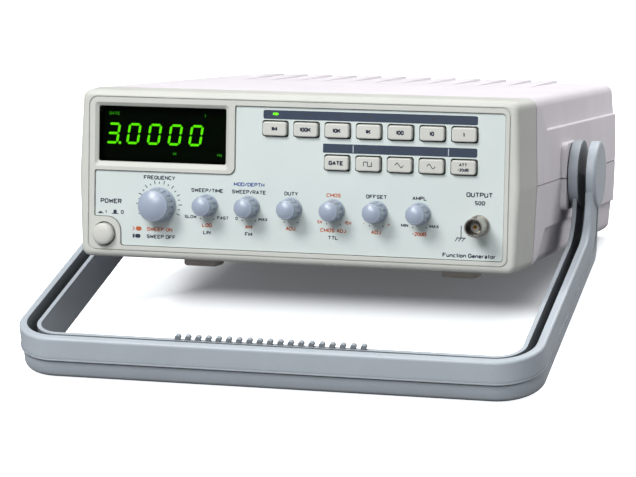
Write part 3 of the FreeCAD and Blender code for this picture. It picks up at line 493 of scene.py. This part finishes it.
# ---- stage ------------------------------------------------------------------------------------
def floor_material():
    """Pale floor: seen directly it is white with a soft grey patch under the case, a painted shadow
    where its glow fades; the light it throws back on the unit is a darker grey."""
    mat = surface("floor", srgb(236, 238, 240), rough=0.8, grain=2.0, bump=0.02, vary=0.01, edge=0)
    tree = mat.node_tree
    bsdf = next(n for n in tree.nodes if n.type == "BSDF_PRINCIPLED")
    out = next(n for n in tree.nodes if n.type == "OUTPUT_MATERIAL")
    place = tree.nodes.new("ShaderNodeNewGeometry")
    parts = tree.nodes.new("ShaderNodeSeparateXYZ")
    tree.links.new(place.outputs["Position"], parts.inputs["Vector"])
    # painted shadow: inside a soft-edged box round the case's footprint the floor's glow drops to a tenth
    middle = at(0, CASE_MIDDLE_Y, 0)
    outside = []
    for axis, centre, reach in (("X", middle.x + 0.007, 0.143), ("Y", middle.y + 0.0575, 0.11)):
        from_middle = tree.nodes.new("ShaderNodeMath")
        from_middle.operation = "SUBTRACT"
        from_middle.inputs[1].default_value = centre
        size = tree.nodes.new("ShaderNodeMath")
        size.operation = "ABSOLUTE"
        over = tree.nodes.new("ShaderNodeMath")
        over.operation = "SUBTRACT"
        over.inputs[1].default_value = reach
        tree.links.new(parts.outputs[axis], from_middle.inputs[0])
        tree.links.new(from_middle.outputs[0], size.inputs[0])
        tree.links.new(size.outputs[0], over.inputs[0])
        outside.append(over.outputs[0])
    worst = tree.nodes.new("ShaderNodeMath")
    worst.operation = "MAXIMUM"
    for i in range(2):
        tree.links.new(outside[i], worst.inputs[i])
    shadow_fade = tree.nodes.new("ShaderNodeMapRange")
    shadow_fade.interpolation_type = "SMOOTHSTEP"
    for key, value in (("From Min", -0.05), ("From Max", 0.004), ("To Min", 0.1), ("To Max", 1.0)):
        shadow_fade.inputs[key].default_value = value
    tree.links.new(worst.outputs[0], shadow_fade.inputs["Value"])
    bsdf.inputs["Emission Color"].default_value = (0.95, 0.98, 1.0, 1)
    tree.links.new(shadow_fade.outputs["Result"], bsdf.inputs["Emission Strength"])
    dull = tree.nodes.new("ShaderNodeBsdfDiffuse")
    dull.inputs["Color"].default_value = (0.3, 0.3, 0.31, 1)
    path = tree.nodes.new("ShaderNodeLightPath")
    mix = tree.nodes.new("ShaderNodeMixShader")
    tree.links.new(path.outputs["Is Camera Ray"], mix.inputs["Fac"])
    tree.links.new(dull.outputs["BSDF"], mix.inputs[1])
    tree.links.new(bsdf.outputs["BSDF"], mix.inputs[2])
    tree.links.new(mix.outputs["Shader"], out.inputs["Surface"])
    return mat


# the unit stands on its rear feet and on the handle's crossbar, so the floor leans by the slope
# between these two points; it lies a little under both
FLOOR_GAP = 0.0003
FLOOR_FRONT = at(0, -44.3, -106.4)
FLOOR_REAR = at(0, 242.0, -55.0)
pitch = math.atan2(FLOOR_REAR.z - FLOOR_FRONT.z, FLOOR_REAR.y - FLOOR_FRONT.y)
bm = bmesh.new()
bmesh.ops.create_grid(bm, x_segments=8, y_segments=8, size=6.0)
mesh = bpy.data.meshes.new("floor")
bm.to_mesh(mesh)
bm.free()
floor = bpy.data.objects.new("floor", mesh)
bpy.context.scene.collection.objects.link(floor)
floor.matrix_world = (Matrix.Translation(FLOOR_FRONT - Vector((0, 0, FLOOR_GAP)))
                      @ Matrix.Rotation(pitch, 4, "X"))
mesh.materials.append(floor_material())

world = bpy.data.worlds.new("studio")
bpy.context.scene.world = world
world.use_nodes = True
tree = world.node_tree
tree.nodes.clear()
out = tree.nodes.new("ShaderNodeOutputWorld")
back = tree.nodes.new("ShaderNodeBackground")
seen = tree.nodes.new("ShaderNodeBackground")
seen.inputs["Color"].default_value = (1, 1, 1, 1)
seen.inputs["Strength"].default_value = 1.0
coords = tree.nodes.new("ShaderNodeTexCoord")
split = tree.nodes.new("ShaderNodeSeparateXYZ")
ramp = tree.nodes.new("ShaderNodeValToRGB")
ramp.color_ramp.elements[0].position = 0.35
ramp.color_ramp.elements[0].color = (0.42, 0.44, 0.48, 1)
ramp.color_ramp.elements[1].position = 1.0
ramp.color_ramp.elements[1].color = (1, 1, 1, 1)
half = tree.nodes.new("ShaderNodeMapRange")
half.inputs["From Min"].default_value = -1.0
path = tree.nodes.new("ShaderNodeLightPath")
mix = tree.nodes.new("ShaderNodeMixShader")
tree.links.new(coords.outputs["Generated"], split.inputs["Vector"])
tree.links.new(split.outputs["Z"], half.inputs["Value"])
tree.links.new(half.outputs["Result"], ramp.inputs["Fac"])
tree.links.new(ramp.outputs["Color"], back.inputs["Color"])
back.inputs["Strength"].default_value = 0.33
tree.links.new(path.outputs["Is Camera Ray"], mix.inputs["Fac"])
tree.links.new(back.outputs["Background"], mix.inputs[1])
tree.links.new(seen.outputs["Background"], mix.inputs[2])
tree.links.new(mix.outputs["Shader"], out.inputs["Surface"])


def softbox(name, where, aim, size, energy, color=(1, 1, 1)):
    """Rectangular light; its place and the point it faces are metres from under the case's middle."""
    data = bpy.data.lights.new(name, "AREA")
    data.shape = "RECTANGLE"
    data.size, data.size_y = size
    data.energy = energy
    data.color = color
    obj = bpy.data.objects.new(name, data)
    bpy.context.scene.collection.objects.link(obj)
    obj.location = at(0, CASE_MIDDLE_Y, -SPLIT_HEIGHT) + Vector(where)
    obj.rotation_euler = (Vector(aim) - Vector(where)).to_track_quat("-Z", "Y").to_euler()


softbox("key_light", (-0.6, -1.35, 1.2), (0, -0.1, 0.05), (0.6, 0.6), 23)
softbox("top_light", (0.3, 0.2, 1.6), (0, 0.0, 0.0), (1.4, 1.2), 11)
softbox("side_light", (0.55, 0.5, 0.75), (0.12, 0.1, 0.1), (0.4, 0.4), 4.0)
softbox("front_fill", (0.0, -1.9, 0.95), (0, -0.1, 0.05), (0.6, 0.45), 13.5, (0.95, 0.97, 1.0))

# ---- camera: azimuth, elevation and roll of the viewpoint, aimed at the front panel ------------
AZIMUTH, ELEVATION, ROLL, DISTANCE = 15.48, 5.237, 1.0235, 1.4507
AIM = at(13.4, 0, -29.89)
az, el, roll = (math.radians(v) for v in (AZIMUTH, ELEVATION, ROLL))
back_axis = Vector((math.sin(az) * math.cos(el), -math.cos(az) * math.cos(el), math.sin(el)))
right = Vector((math.cos(az), math.sin(az), 0))
up = back_axis.cross(right)
right_rolled = right * math.cos(roll) + up * math.sin(roll)
up_rolled = up * math.cos(roll) - right * math.sin(roll)
camera = bpy.data.objects.new("camera", bpy.data.cameras.new("camera"))
bpy.context.scene.collection.objects.link(camera)
camera.matrix_world = Matrix((
    (right_rolled.x, up_rolled.x, back_axis.x, 0),
    (right_rolled.y, up_rolled.y, back_axis.y, 0),
    (right_rolled.z, up_rolled.z, back_axis.z, 0),
    (0, 0, 0, 1),
))
camera.location = AIM + back_axis * DISTANCE
camera.data.sensor_width = 36.0
camera.data.lens = 154.67
camera.data.clip_end = 50
bpy.context.scene.camera = camera
bpy.context.scene.view_settings.view_transform = "Standard"
